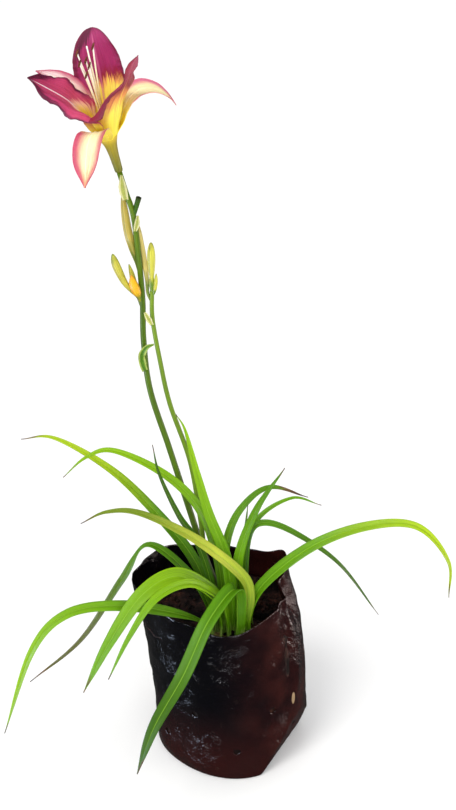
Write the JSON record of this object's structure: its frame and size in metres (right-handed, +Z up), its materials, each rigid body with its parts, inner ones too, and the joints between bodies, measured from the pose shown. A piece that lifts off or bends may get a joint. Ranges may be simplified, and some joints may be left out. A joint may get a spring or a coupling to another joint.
{
  "type": "daylily plant in a nursery grow bag",
  "caption": "Daylily with arching strap leaves, tall flowering stems with buds and an open bicolour bloom, rooted in a soil-filled black grow bag.",
  "frame": {"origin": "on the underside of the bag's flat base, about its middle, on the surface that it stands on", "axes": "+Z up along the plant; the pictured side faces -Y, with the long leaves to -X and +X"},
  "size_m": [0.3553, 0.2225, 0.6289],
  "materials": {
    "bag_film": "glossy wrinkled black polythene film",
    "soil": "matt crumbly red-brown soil",
    "crown": "pale fibrous rootstock",
    "leaf": "satin mid-green leaf",
    "leaf_light": "satin light green leaf",
    "leaf_yellow": "satin leaf turning yellow",
    "stem": "smooth green stem",
    "bract": "papery pale green bract",
    "bud": "satin olive-yellow bud",
    "bud_orange": "satin orange bud",
    "petal": "velvety rose-purple with a yellow throat",
    "stamen": "satin cream-yellow filaments"
  },
  "bodies": {
    "root": {"grow_bag": "bag_film", "soil": "soil", "crown": "crown", "leaf_left_high_far": "leaf_light", "leaf_left_high_near": "leaf_light", "leaf_clasping_stem": "leaf", "leaf_left_erect": "leaf", "leaf_yellowing": "leaf_yellow", "leaf_over_left_rim": "leaf", "leaf_left_long": "leaf_light", "leaf_front_left_broad": "leaf_light", "leaf_front_left_narrow": "leaf", "leaf_front": "leaf", "leaf_right_long": "leaf_light", "leaf_right_erect": "leaf", "leaf_right_kinked": "leaf", "leaf_right_thin": "leaf", "leaf_brown_tipped": "leaf", "leaf_back_short": "leaf", "stem_main": "stem", "stem_side": "stem", "bract_main": "bract", "bract_side": "bract", "bract_bloom": "bract", "bract_upper": "bract", "bud_long_left": "bud", "bud_long_right": "bud", "bud_green_left": "bud", "bud_small_left": "bud", "bud_side_top": "bud", "bud_side_small": "bud", "bud_orange": "bud_orange", "bloom_tepals": "petal", "bloom_stamens": "stamen"}
  },
  "joints": []
}
